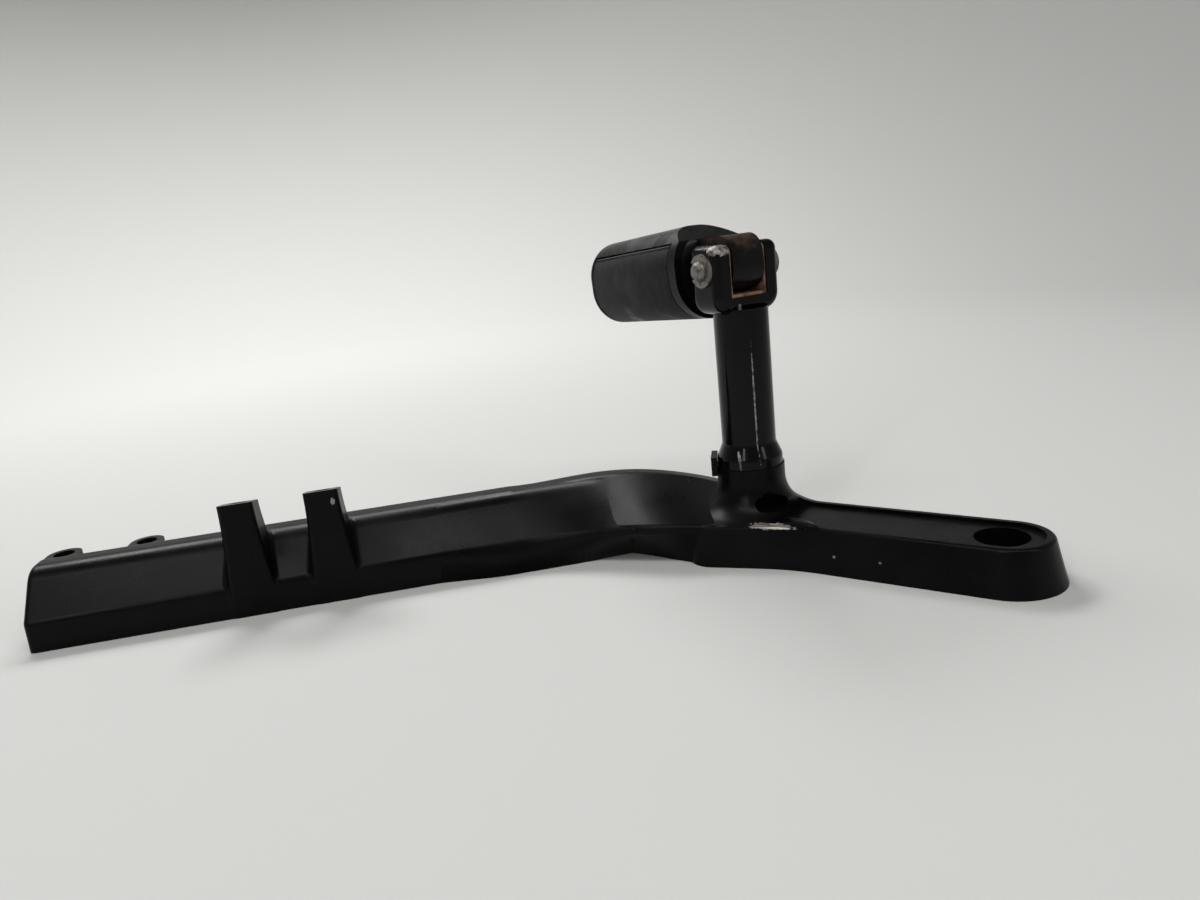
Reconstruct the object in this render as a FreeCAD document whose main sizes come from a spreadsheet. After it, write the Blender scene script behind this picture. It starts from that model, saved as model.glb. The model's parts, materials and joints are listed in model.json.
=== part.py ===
"""Motorcycle foot-peg support: a cast bracket, a steel post with a clevis, and a padded peg that folds on it.

Units are millimetres. The origin is the centre of the front mounting bore on the bracket's base face. +X runs
along the bar towards the bore, +Y to the side that the peg folds to, and +Z up along the post.
Solids are built about the post's axis, with Z counted from the base face, and are then placed on it.
"""
import FreeCAD
import Part
import Sketcher
import math
import os
import re
from FreeCAD import Placement, Rotation, Vector

SIZES = [
    # Plan of the bracket, from the post's axis
    ("arm_reach", 100.0, "post axis to front mounting bore"),
    ("arm_angle", 46.5, "arm turned from the bar's line, degrees"),
    ("seat_height", 37.5, "base face to post seat"),
    ("casting_wall", 4.0, "wall of the hollow casting"),
    # Bar
    ("bar_end", 301.0, "post axis to the bar's free end"),
    ("bar_front", 18.4, "bar's front foot behind the post axis"),
    ("bar_depth", 33.0, "front foot to back foot"),
    ("bar_height", 30.2, "base face to the bar's crown"),
    ("bar_knee", 12.5, "height of the upright part of the front face"),
    ("knee_lean", 0.8, "draft of that upright part"),
    ("bar_slope", 48.0, "sloped front face, degrees from level"),
    ("back_lean", 2.0, "draft of the back wall"),
    ("knee_radius", 4.0, "rounding at the knee"),
    ("crown_radius", 12.0, "rounding from slope to crown"),
    ("back_radius", 4.0, "rounding from crown to back wall"),
    ("end_radius", 2.5, "rounding of the free end"),
    ("rib_count", 4.0, "cross ribs under the bar"),
    # Elbow from the bar to the arm's root
    ("elbow_start", 78.0, "post axis to where the bar begins to turn"),
    ("elbow_lead", 22.0, "straight lead before it"),
    ("root_set", 8.0, "post axis to the arm root's section, along the bar"),
    ("root_front", 21.5, "front ledge of that section"),
    ("root_back", 33.5, "back edge of that section"),
    ("root_rise", 6.5, "back edge above the arm's top"),
    ("ledge_radius", 1.5, "rounding of the ledge's edge"),
    ("toe_set", 14.0, "section where the elbow has sunk into the arm"),
    # Arm
    ("arm_height", 17.5, "base face to the arm's rim"),
    ("arm_width", 31.6, "width over the rim"),
    ("arm_flare", 4.5, "draft: foot outside the rim"),
    ("arm_nose", 17.8, "front bore to the arm's end"),
    ("arm_end_radius", 15.7, "rounding of the arm's end in plan"),
    ("ledge_along", 14.0, "front ledge's corner before the post, along the arm"),
    ("ledge_across", 32.0, "front ledge's corner from the arm's centreline"),
    ("ledge_corner", 11.0, "rounding of that corner in plan"),
    ("knuckle_along", 25.0, "where the front ledge meets the arm's straight side"),
    ("knuckle_radius", 80.0, "rounding there"),
    ("rim_radius", 1.6, "rounding of the rim's outer edge"),
    ("recess_depth", 1.4, "panel sunk in the arm's top"),
    ("recess_rim", 3.0, "rim left round the panel"),
    ("recess_start", 17.0, "post axis to the panel's near end"),
    ("recess_radius", 5.0, "rounding of the panel's near corners"),
    ("cavity_height", 12.5, "depth of the hollow under arm and boss"),
    ("cavity_end", 17.0, "front bore to the hollow's end"),
    # Front mounting bore
    ("bolt_bore_radius", 6.5, "clearance bore for the mounting bolt"),
    ("counterbore_radius", 9.8, "counterbore for its head"),
    ("bolt_flange", 7.0, "metal left under the head"),
    # Post boss
    ("boss_radius", 14.2, "seat radius"),
    ("boss_flare", 15.0, "hollow rounding at the boss's foot"),
    ("boss_sink", 0.4, "overlap of rounding and tab with what they stand on"),
    ("tab_thick", 2.5, "anti-turn tab, radially"),
    ("tab_width", 12.0, "anti-turn tab across"),
    ("tab_rise", 4.4, "tab above the seat"),
    ("tab_drop", 3.6, "tab below the seat"),
    ("tab_angle", 160.0, "tab round the post from +X, degrees"),
    ("window_depth", 24.0, "three-cornered pocket in the boss's foot"),
    ("window_width", 32.0, "pocket, corner to corner"),
    ("window_shift", 10.6, "its left corner from the post axis"),
    ("window_left_rise", 4.0, "its left corner above the shelf"),
    ("window_peak_rise", 10.8, "its top corner above the shelf"),
    ("window_right_rise", 1.8, "its right corner above the shelf"),
    ("window_radius", 2.4, "rounding of its corners"),
    # Upright bosses on the bar's front
    ("pillar_reach", 178.5, "post axis to the nearer boss"),
    ("pillar_pitch", 33.8, "one boss to the other"),
    ("pillar_width", 14.2, "width at the top"),
    ("pillar_foot", 21.0, "width at the foot"),
    ("pillar_depth", 14.0, "depth at the top"),
    ("pillar_height", 49.0, "base face to the top's front edge"),
    ("pillar_tilt", 12.0, "top falls away to the back, degrees"),
    ("pillar_corner", 2.6, "rounding of the upright edges"),
    ("pillar_proud", 1.3, "front before the bar's front face"),
    ("pillar_blend", 3.0, "hollow rounding where they stand on the bar"),
    ("tapping_radius", 3.4, "tapped hole in each top"),
    ("tapping_depth", 16.0, "its depth"),
    # Lugs behind the bar's free end
    ("lug_reach", 260.0, "post axis to the nearer lug"),
    ("lug_pitch", 34.0, "one lug to the other"),
    ("lug_radius", 7.0, "outer radius"),
    ("lug_gap", 4.6, "lug axis behind the back wall's foot"),
    ("lug_height", 28.5, "base face to the lug's top"),
    ("lug_bore_radius", 4.25, "through bore"),
    # Post and clevis
    ("post_radius", 11.25, "post"),
    ("post_foot_radius", 13.6, "flared foot"),
    ("post_foot_height", 9.5, "flared foot"),
    ("post_foot_round", 5.6, "height of its taper"),
    ("post_foot_blend", 2.5, "rounding of the taper's ends"),
    ("pivot_height", 82.0, "seat to hinge axis"),
    ("clevis_turn", 18.5, "hinge axis turned from the bar's line, degrees"),
    ("clevis_back", 2.0, "hinge axis behind the post axis"),
    ("clevis_width", 32.0, "over the ears"),
    ("clevis_depth", 18.0, "front to back"),
    ("clevis_drop", 18.0, "hinge axis to the clevis's underside"),
    ("clevis_rise", 9.6, "hinge axis to the ears' tops"),
    ("clevis_round", 3.6, "rounding of its other edges"),
    ("clevis_corner", 7.0, "rounding of the underside"),
    ("slot_width", 18.0, "between the ears"),
    ("slot_drop", 11.4, "hinge axis to the slot's floor"),
    ("liner_thick", 1.0, "sheet saddle in the slot"),
    ("liner_short", 0.8, "saddle's edges inside the clevis's outline"),
    # Hinge pin and its ring
    ("pin_radius", 4.0, "pin"),
    ("pin_clearance", 0.05, "radial running clearance"),
    ("pin_head_radius", 6.5, "head"),
    ("pin_head_thick", 2.5, "head"),
    ("pin_tail", 4.0, "pin past the far ear"),
    ("pin_chamfer", 0.7, "chamfer of its head"),
    ("pin_dome", 2.6, "rounding of its tail"),
    ("ring_radius", 6.6, "retaining ring, outer"),
    ("ring_thick", 1.1, "retaining ring"),
    ("groove_depth", 0.7, "its groove in the pin"),
    # Bolt that pulls the post on its seat
    ("stud_radius", 5.0, "bolt shank"),
    ("stud_clearance", 0.5, "shank in the boss"),
    ("thread_clearance", 0.05, "shank in the post"),
    ("stud_grip", 22.0, "shank inside the post"),
    ("hex_radius", 8.7, "head over corners"),
    ("hex_height", 7.0, "head"),
    ("washer_radius", 10.5, "washer"),
    ("washer_thick", 2.0, "washer"),
    # Folding peg
    ("fold_droop", 4.5, "folded peg below level, degrees"),
    ("tongue_play", 0.3, "tongue to saddle, each side"),
    ("tongue_nose", 9.4, "hinge axis to the tongue's nose"),
    ("tongue_top", 12.7, "hinge axis to the tongue's back"),
    ("tongue_round", 8.0, "rounding between them"),
    ("neck_start", 12.2, "hinge axis to the neck"),
    ("flange_start", 14.4, "hinge axis to the flange"),
    ("flange_thick", 5.0, "flange"),
    ("crown_run", 10.6, "slanted crown over the flange, along the peg"),
    ("crown_step", 0.5, "its foot above the tongue's back"),
    ("peg_length", 89.5, "hinge axis to the peg's end"),
    ("end_rim", 3.0, "rim at the peg's end"),
    ("end_round", 2.2, "rounding of that rim"),
    ("neck_set", 3.5, "neck's root inside the flange's outline"),
    ("peg_drop", 0.2, "middle of the peg below the hinge axis"),
    ("peg_width", 38.4, "at the flange"),
    ("peg_tall", 39.6, "at the flange"),
    ("tip_width", 36.0, "at the end"),
    ("tip_tall", 38.2, "at the end"),
    ("back_share", 0.90, "arched back, of half the width"),
    ("belly_share", 0.92, "round belly, of half the width"),
    ("spine_thick", 6.6, "metal back at the flange"),
    ("spine_tip", 6.0, "metal back at the end"),
    ("spine_gap", 0.7, "gap from back to pad"),
    ("core_width", 18.0, "bar inside the pad"),
    ("core_depth", 8.0, "bar below the peg's axis"),
]

# Elbow stations: share of the way to the arm's root, then how far each edge has gone over by there
ELBOW_STATIONS = [
    {"along": 0.37, "foot": 0.08, "ledge": 0.59, "ledge_rise": 0.91, "crown": -0.12, "back": 0.16},
    {"along": 0.64, "foot": 0.58, "ledge": 0.76, "ledge_rise": 1.00, "crown": 0.15, "back": 0.40},
    {"along": 1.00, "foot": 1.00, "ledge": 1.00, "ledge_rise": 1.00, "crown": 1.00, "back": 1.00},
]

# Upright boss below the bar's crown: height as a share of the crown's, share of the foot's spread, depth over
# the top's, share of how proud its front is
PILLAR_LEVELS = [
    {"rise": 0.00, "spread": 1.00, "depth": 1.60, "proud": 0.3},
    {"rise": 0.55, "spread": 0.55, "depth": 1.45, "proud": 1.0},
    {"rise": 1.00, "spread": 0.20, "depth": 1.20, "proud": 1.0},
]

doc = FreeCAD.newDocument("FootPegSupport")
sheet = doc.addObject("Spreadsheet::Sheet", "Sizes")
for row, (alias, value, note) in enumerate(SIZES, start=1):
    sheet.set(f"A{row}", note)
    sheet.set(f"B{row}", str(value))
    sheet.setAlias(f"B{row}", alias)
doc.recompute()
ALIASES = {alias for alias, _, _ in SIZES}


def size(alias):
    """Value of a named size."""
    return float(sheet.get(alias))


def formula(text):
    """Expression over named sizes, as the document's objects read it."""
    return re.sub(r"[a-z_]+", lambda word: f"Sizes.{word[0]}" if word[0] in ALIASES else word[0], text)


def bind(item, **formulas):
    """Bind properties of an object to expressions over named sizes; a double underscore stands for a dot."""
    for prop, text in formulas.items():
        item.setExpression(prop.replace("__", "."), formula(text))
    return item


# Distance within which an edge counts as lying on a plane
TOUCH = 1e-4
POST_X = "-arm_reach * cos(arm_angle * 1deg)"
POST_Y = "arm_reach * sin(arm_angle * 1deg)"
HINGE_Z = "seat_height + pivot_height"


def place_on_post(item):
    """Put a finished sub-part on the post's axis."""
    return bind(item, Placement__Base__x=POST_X, Placement__Base__y=POST_Y)


def place_on_hinge(item, height=HINGE_Z, tilt="0"):
    """Put a finished sub-part on the hinge, its X along the hinge axis, tilted about that axis."""
    bind(item, Placement__Base__x=f"{POST_X} - clevis_back * sin(clevis_turn * 1deg)",
         Placement__Base__y=f"{POST_Y} + clevis_back * cos(clevis_turn * 1deg)", Placement__Base__z=height)
    yaw = Rotation(Vector(0, 0, 1), size("clevis_turn"))
    pitch = Rotation(Vector(1, 0, 0), value_of(tilt))
    item.Placement = Placement(item.Placement.Base, yaw.multiply(pitch))
    return item


def value_of(text):
    """Number that an expression over named sizes comes to."""
    return float(sheet.evalExpression(formula(text)))


def rounded_wire(corners, radii):
    """Closed wire through the corners, each rounded to its own radius; a zero radius stays sharp."""
    stretches = []
    for i, corner in enumerate(corners):
        before = (corners[i - 1] - corner).normalize()
        after = (corners[(i + 1) % len(corners)] - corner).normalize()
        half_angle = before.getAngle(after) / 2
        reach = radii[i] / math.tan(half_angle)
        middle = (before + after).normalize() * (radii[i] / math.sin(half_angle) - radii[i])
        stretches.append((corner + before * reach, corner + middle, corner + after * reach))
    edges = []
    for i, (start, middle, end) in enumerate(stretches):
        if radii[i] > 0:
            edges.append(Part.Arc(start, middle, end).toShape())
        edges.append(Part.LineSegment(end, stretches[(i + 1) % len(stretches)][0]).toShape())
    return Part.Wire(edges)


def profile(name, wire):
    """Document object that holds a wire."""
    item = doc.addObject("Part::Feature", name)
    item.Shape = wire
    return item


def loft(name, wires, ruled=False):
    """Solid through a row of wires."""
    item = doc.addObject("Part::Loft", name)
    item.Sections = [profile(f"{name}Section{i}", wire) for i, wire in enumerate(wires, start=1)]
    item.Solid = True
    item.Ruled = ruled
    return item


def extrusion(name, wire, direction, length):
    """Solid pushed out of a wire along a direction, to a length given as an expression."""
    item = doc.addObject("Part::Extrusion", name)
    item.Base = profile(f"{name}Outline", wire)
    item.DirMode = "Custom"
    item.Dir = direction
    item.Solid = True
    return bind(item, LengthFwd=length)


def cylinder(name, radius, height, **place):
    """Upright cylinder; place gives its foot's x, y and z as expressions."""
    item = doc.addObject("Part::Cylinder", name)
    bind(item, Radius=radius, Height=height)
    return bind(item, **{f"Placement__Base__{axis}": text for axis, text in place.items()})


def fuse(name, items):
    """Union of several objects."""
    item = doc.addObject("Part::MultiFuse", name)
    item.Shapes = items
    item.Refine = True
    return item


def cut(name, base, tool):
    """One object with another taken away."""
    item = doc.addObject("Part::Cut", name)
    item.Base = base
    item.Tool = tool
    item.Refine = True
    return item


def fillet(name, base, radius, chosen):
    """Round the edges of an object that a test picks."""
    doc.recompute()
    item = doc.addObject("Part::Fillet", name)
    item.Base = base
    picked = [i for i, edge in enumerate(base.Shape.Edges, start=1) if chosen(edge)]
    item.Edges = [(i, radius, radius) for i in picked]
    return item


def new_body(label):
    """Empty body of its own label."""
    body = doc.addObject("PartDesign::Body", label)
    body.Label = label
    return body


def outline_sketch(body, name, role, corners, offset="0"):
    """Closed straight-sided sketch on or off an origin plane; corners are pairs of expressions over sizes."""
    sketch = body.newObject("Sketcher::SketchObject", name)
    plane = next(item for item in body.Origin.OriginFeatures if item.Role == role)
    sketch.AttachmentSupport = (plane, [""])
    sketch.MapMode = "FlatFace"
    bind(sketch, AttachmentOffset__Base__z=offset)
    points = [Vector(value_of(across), value_of(up), 0) for across, up in corners]
    for i, point in enumerate(points):
        sketch.addGeometry(Part.LineSegment(point, points[(i + 1) % len(points)]))
    for i, point in enumerate(points):
        sketch.addConstraint(Sketcher.Constraint("Coincident", i, 2, (i + 1) % len(points), 1))
    for i, (point, texts) in enumerate(zip(points, corners)):
        for kind, number, text in (("DistanceX", point.x, texts[0]), ("DistanceY", point.y, texts[1])):
            index = sketch.addConstraint(Sketcher.Constraint(kind, -1, 1, i, 1, number))
            sketch.setExpression(f"Constraints[{index}]", formula(text))
    return sketch


def revolve(body, sketch, axis):
    """Full turn of a sketch about one of its own axes."""
    feature = body.newObject("PartDesign::Revolution", f"{sketch.Name}Turned")
    feature.Profile = sketch
    feature.ReferenceAxis = (sketch, [axis])
    feature.Angle = 360
    return feature


def sweep_both_ways(body, kind, sketch, length):
    """Pad or pocket a sketch to both sides of its plane."""
    feature = body.newObject(f"PartDesign::{kind}", f"{sketch.Name}{kind}")
    feature.Profile = sketch
    feature.SideType = "Symmetric"
    return bind(feature, Length=length)


# Bracket casting


def bar_corners(drop=0.0):
    """Corners of the bar's section as (y, z): front foot, knee, crown, back edge, back foot."""
    front = size("bar_front")
    knee = front + size("knee_lean")
    crown = knee + (size("bar_height") - size("bar_knee")) / math.tan(math.radians(size("bar_slope")))
    back = front + size("bar_depth")
    return [(front, -drop), (knee, size("bar_knee")), (crown, size("bar_height")),
            (back - size("back_lean"), size("bar_height")), (back, -drop)]


def section(x, corners, radii):
    """Section of the casting in a plane across the bar."""
    return rounded_wire([Vector(x, y, z) for y, z in corners], radii)


def section_radii(share=0.0):
    """Roundings of the section's corners in order; share is how far the knee has become the ledge."""
    knee = size("knee_radius") + share * (size("ledge_radius") - size("knee_radius"))
    return [0, knee, size("crown_radius"), size("back_radius"), 0]


def make_bar():
    """Straight bar of constant section, with a rounded free end."""
    bar = extrusion("Bar", section(-size("bar_end"), bar_corners(), section_radii()), Vector(1, 0, 0),
                    "bar_end - elbow_start - elbow_lead")
    base_edge = 0.5
    return fillet("BarRounded", bar, size("end_radius"),
                  lambda edge: abs(edge.BoundBox.XMax + size("bar_end")) < TOUCH
                  and edge.BoundBox.ZMax > base_edge)


def root_corners():
    """Section at the arm's root, where the sloped face has become a level shelf."""
    rim = size("arm_height")
    front = -size("root_front")
    back = size("root_back")
    crown = back - size("crown_radius")
    return [(front, 0), (front, rim), (crown, rim + size("root_rise")),
            (back, rim + size("root_rise")), (back + size("back_lean"), 0)]


def toe_corners():
    """Section where the elbow has sunk just inside the arm."""
    sunk = 0.3
    turn = math.radians(size("arm_angle"))
    half = size("arm_width") / 2 / math.cos(turn)
    middle = -size("toe_set") * math.tan(turn)
    rim = size("arm_height") - sunk
    front = middle - half + sunk
    back = middle + half - sunk
    return [(front, 0), (front, rim), ((front + back) / 2, rim + sunk / 2), (back, rim), (back, 0)]


def make_elbow():
    """Smooth turn from the bar's section to the arm's root."""
    start = bar_corners()
    root = root_corners()
    lead = -size("elbow_start") - size("elbow_lead")
    wires = [section(x, start, section_radii()) for x in (lead, -size("elbow_start"))]
    for station in ELBOW_STATIONS:
        x = -size("elbow_start") + station["along"] * (size("elbow_start") - size("root_set"))
        shares = [(station["foot"], 1), (station["ledge"], station["ledge_rise"]),
                  (station["crown"], station["crown"]), (station["back"], station["crown"]),
                  (station["back"], 1)]
        corners = [(a[0] + share[0] * (b[0] - a[0]), a[1] + share[1] * (b[1] - a[1]))
                   for a, b, share in zip(start, root, shares)]
        wires.append(section(x, corners, section_radii(station["ledge"])))
    wires.append(section(size("toe_set"), toe_corners(), section_radii(1)))
    return loft("Elbow", wires)


def arm_point(along, across, z):
    """Point given along and across the arm's centreline, which starts at the post's axis."""
    turn = -math.radians(size("arm_angle"))
    return Vector(along * math.cos(turn) - across * math.sin(turn),
                  along * math.sin(turn) + across * math.cos(turn), z)


def arm_outline(z, flare):
    """Arm in plan at one height: front ledge, straight side, rounded end, back side."""
    half = size("arm_width") / 2 + flare
    end = size("arm_reach") + size("arm_nose") + flare
    end_radius = size("arm_end_radius") + flare
    ledge = -size("ledge_along")
    inside = ledge - size("arm_width") / 2
    corners = [(ledge, -size("ledge_across")), (size("knuckle_along"), -half), (end, -half), (end, half),
               (ledge, half), (inside, -half / 3)]
    radii = [size("ledge_corner"), size("knuckle_radius"), end_radius, end_radius, 0, 0]
    return rounded_wire([arm_point(along, across, z) for along, across in corners], radii)


def make_arm():
    """Drafted arm with a softened rim."""
    rim = size("arm_height")
    arm = loft("Arm", [arm_outline(0, size("arm_flare")), arm_outline(rim, 0)], ruled=True)
    return fillet("ArmRounded", arm, size("rim_radius"),
                  lambda edge: edge.BoundBox.ZMin > rim - TOUCH
                  and arm_along(edge.CenterOfMass) > 0)


def arm_along(point):
    """Distance of a point along the arm from the post's axis."""
    turn = -math.radians(size("arm_angle"))
    return point.x * math.cos(turn) + point.y * math.sin(turn)


def make_boss():
    """Post boss: a turned form whose foot flares hollow into the shelf, inside the bracket's own outline."""
    radius = size("boss_radius")
    flare = size("boss_flare")
    foot = size("arm_height") - size("boss_sink")
    seat = size("seat_height")
    skirt = foot + flare
    axis_foot = Vector(0, 0, foot)
    outer_foot = Vector(radius + flare, 0, foot)
    neck = Vector(radius, 0, skirt)
    hollow = Vector(radius + flare - flare * math.sqrt(0.5), 0, skirt - flare * math.sqrt(0.5))
    rim = Vector(radius, 0, seat)
    wire = Part.Wire([Part.LineSegment(axis_foot, outer_foot).toShape(),
                      Part.Arc(outer_foot, hollow, neck).toShape(),
                      Part.LineSegment(neck, rim).toShape(),
                      Part.LineSegment(rim, Vector(0, 0, seat)).toShape(),
                      Part.LineSegment(Vector(0, 0, seat), axis_foot).toShape()])
    turned = doc.addObject("Part::Revolution", "BossTurned")
    turned.Source = profile("BossOutline", wire)
    turned.Axis = Vector(0, 0, 1)
    turned.Angle = 360
    turned.Solid = True
    limit = extrusion("BossLimit", arm_outline(foot, 0), Vector(0, 0, 1), "seat_height")
    column = cylinder("BossColumn", "boss_radius", "seat_height - cavity_height", z="cavity_height")
    kept = doc.addObject("Part::MultiCommon", "BossKept")
    kept.Shapes = [turned, limit]
    return [kept, column]


def make_tab():
    """Upright tab at the seat that stops the post turning."""
    tab = doc.addObject("Part::Box", "AntiTurnTab")
    bind(tab, Length="tab_thick", Width="tab_width", Height="tab_drop + tab_rise")
    turn = math.radians(size("tab_angle"))
    inner = size("boss_radius") - size("boss_sink")
    half = size("tab_width") / 2
    corner = Vector(inner * math.cos(turn) + half * math.sin(turn),
                    inner * math.sin(turn) - half * math.cos(turn), size("seat_height") - size("tab_drop"))
    tab.Placement = Placement(corner, Rotation(Vector(0, 0, 1), size("tab_angle")))
    return tab


def make_window():
    """Three-cornered pocket in the front of the boss's foot, as a cutting solid."""
    rim = size("arm_height")
    left = -size("window_shift")
    width = size("window_width")
    peak_share = 0.37
    face = -(size("boss_radius") + size("boss_flare") + size("window_radius"))
    corners = [Vector(left, face, rim + size("window_left_rise")),
               Vector(left + peak_share * width, face, rim + size("window_peak_rise")),
               Vector(left + width, face, rim + size("window_right_rise"))]
    wire = rounded_wire(corners, [size("window_radius")] * len(corners))
    return extrusion("BossWindow", wire, Vector(0, 1, 0), "window_depth")


def pillar_section(x, z, width, depth, proud=1.0):
    """Level section of an upright boss, its front a share of its full step before the bar's front face."""
    front = size("bar_front") - proud * size("pillar_proud")
    back = size("bar_front") + depth
    corners = [Vector(x - width / 2, front, z), Vector(x + width / 2, front, z),
               Vector(x + width / 2, back, z), Vector(x - width / 2, back, z)]
    return rounded_wire(corners, [size("pillar_corner")] * len(corners))


def pillar_x(number):
    """Place of an upright boss along the bar."""
    return -size("pillar_reach") - number * size("pillar_pitch")


def make_pillar(number):
    """Upright boss on the bar's front: broad at the foot, tapered, with a tilted tapped top."""
    x = pillar_x(number)
    width = size("pillar_width")
    spread = size("pillar_foot") - width
    depth = size("pillar_depth")
    tall = size("pillar_height") + depth * math.tan(math.radians(size("pillar_tilt")))
    crown = size("bar_height")
    wires = [pillar_section(x, level["rise"] * crown, width + level["spread"] * spread,
                            depth * level["depth"], level["proud"]) for level in PILLAR_LEVELS]
    wires.append(pillar_section(x, tall, width, depth))
    body = loft(f"Pillar{number}", wires)
    lid = doc.addObject("Part::Box", f"PillarLid{number}")
    bind(lid, Length="2 * pillar_foot", Width="4 * pillar_depth", Height="pillar_depth")
    turned = Rotation(Vector(1, 0, 0), -size("pillar_tilt"))
    front_edge = Vector(x - size("pillar_foot"), size("bar_front") - size("pillar_proud"),
                        size("pillar_height"))
    lid.Placement = Placement(front_edge - turned.multVec(Vector(0, depth, 0)), turned)
    return cut(f"PillarTopped{number}", body, lid)


def on_pillar_foot(edge):
    """Whether an edge lies where an upright boss comes out of the bar's slope and crown."""
    box = edge.BoundBox
    half = size("pillar_foot") / 2
    middle = min((pillar_x(number) for number in range(2)), key=lambda x: abs(x - box.Center.x))
    beside = box.XMin < middle - half or box.XMax > middle + half
    on_slope = box.ZMin > size("bar_knee") - size("knee_radius") and box.ZMax < size("bar_height") + TOUCH
    behind_front = box.YMax > size("bar_front") + size("knee_lean")
    return on_slope and behind_front and not beside


def make_bar_with_pillars():
    """Bar with its two upright bosses, hollow-rounded where they stand on it."""
    joined = fuse("BarWithPillars", [make_bar(), make_pillar(0), make_pillar(1)])
    return fillet("PillarsBlended", joined, size("pillar_blend"), on_pillar_foot)


def make_tapping(number):
    """Tapped hole down from an upright boss's top, square to it."""
    hole = doc.addObject("Part::Cylinder", f"Tapping{number}")
    bind(hole, Radius="tapping_radius", Height="2 * tapping_depth")
    tilt = math.radians(size("pillar_tilt"))
    middle = size("pillar_depth") / 2
    top = Vector(pillar_x(number), size("bar_front") + middle,
                 size("pillar_height") - middle * math.tan(tilt))
    normal = Vector(0, math.sin(tilt), math.cos(tilt))
    hole.Placement = Placement(top - normal * size("tapping_depth"),
                               Rotation(Vector(1, 0, 0), -size("pillar_tilt")))
    return hole


LUG_Y = "bar_front + bar_depth + lug_gap"


def lug_x(number):
    """Place of a rear lug along the bar, as an expression."""
    return f"-lug_reach - {number} * lug_pitch"


def make_lug(number):
    """Round lug behind the bar's free end, with the web that ties it to the back wall."""
    lug = cylinder(f"Lug{number}", "lug_radius", "lug_height", x=lug_x(number), y=LUG_Y)
    web = doc.addObject("Part::Box", f"LugWeb{number}")
    bind(web, Length="2 * lug_radius", Width="lug_gap + back_lean + casting_wall / 2", Height="lug_height",
         Placement__Base__x=f"{lug_x(number)} - lug_radius",
         Placement__Base__y="bar_front + bar_depth - back_lean - casting_wall / 2")
    return [lug, web]


def make_bar_bays():
    """Hollow under the bar, in bays between cross ribs."""
    wall = size("casting_wall")
    bays = int(size("rib_count")) + 1
    first = -size("bar_end") + wall
    pitch = (size("bar_end") - size("elbow_start") - wall) / bays
    outer = section(first, bar_corners(drop=wall + 1), section_radii())
    inner = outer.makeOffset2D(-wall)
    tools = []
    for i in range(bays):
        bay = extrusion(f"BarBay{i + 1}", inner, Vector(1, 0, 0),
                        f"(bar_end - elbow_start - casting_wall) / {bays} - casting_wall")
        bay.Placement = Placement(Vector(i * pitch, 0, 0), Rotation())
        tools.append(bay)
    return tools


def make_arm_cavity():
    """Hollow under the arm and the boss."""
    half = size("arm_width") / 2 - size("casting_wall") / 2
    near = -size("boss_radius")
    far = size("arm_reach") - size("cavity_end")
    corners = [(near, -half), (far, -half), (far, half), (near, half)]
    wire = rounded_wire([arm_point(along, across, 0) for along, across in corners],
                        [size("casting_wall")] * len(corners))
    return extrusion("ArmCavity", wire, Vector(0, 0, 1), "cavity_height")


def make_elbow_cavity():
    """Hollow under the elbow, one wall inside its foot."""
    wall = size("casting_wall")
    start = -size("elbow_start") + wall
    front = size("bar_front") + wall
    back = size("bar_front") + size("bar_depth") - size("back_lean") - 2 * wall
    turn_x = -size("boss_radius") - size("arm_width") / 2 - 3 * wall
    end_x = -size("boss_radius") - 2 * wall
    corners = [Vector(start, front, 0), Vector(turn_x, front, 0), Vector(end_x, front - wall, 0),
               Vector(end_x, back - 2 * wall, 0), Vector(start, back, 0)]
    wire = rounded_wire(corners, [wall] * len(corners))
    return extrusion("ElbowCavity", wire, Vector(0, 0, 1), "cavity_height")


def make_recess():
    """Panel sunk in the arm's top, one rim inside its outline."""
    half = size("arm_width") / 2 - size("recess_rim")
    end = size("arm_reach") + size("arm_nose") - size("recess_rim")
    corners = [(size("recess_start"), -half), (end, -half), (end, half), (size("recess_start"), half)]
    end_round = size("arm_end_radius") - size("recess_rim")
    radii = [size("recess_radius"), end_round, end_round, size("recess_radius")]
    floor = size("arm_height") - size("recess_depth")
    wire = rounded_wire([arm_point(along, across, floor) for along, across in corners], radii)
    return extrusion("ArmRecess", wire, Vector(0, 0, 1), "boss_flare")


def make_bracket():
    """The one-piece casting."""
    lugs = [item for number in range(2) for item in make_lug(number)]
    blank = fuse("BracketBlank", [make_bar_with_pillars(), make_elbow(), make_arm(), make_tab(), *make_boss(),
                                  *lugs])
    bore_x = "arm_reach * cos(arm_angle * 1deg)"
    bore_y = "-arm_reach * sin(arm_angle * 1deg)"
    bores = [cylinder("FrontBore", "bolt_bore_radius", "arm_height", x=bore_x, y=bore_y),
             cylinder("FrontCounterbore", "counterbore_radius", "arm_height", x=bore_x, y=bore_y,
                      z="bolt_flange"),
             cylinder("StudBore", "stud_radius + stud_clearance", "seat_height")]
    bores += [cylinder(f"LugBore{number}", "lug_bore_radius", "lug_height", x=lug_x(number), y=LUG_Y)
              for number in range(2)]
    bores += [make_tapping(number) for number in range(2)]
    hollows = [*make_bar_bays(), make_arm_cavity(), make_elbow_cavity(), make_recess(), make_window()]
    bracket = cut("bracket", blank, fuse("BracketHollows", bores + hollows))
    return place_on_post(bracket)


# Post with its clevis


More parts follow.
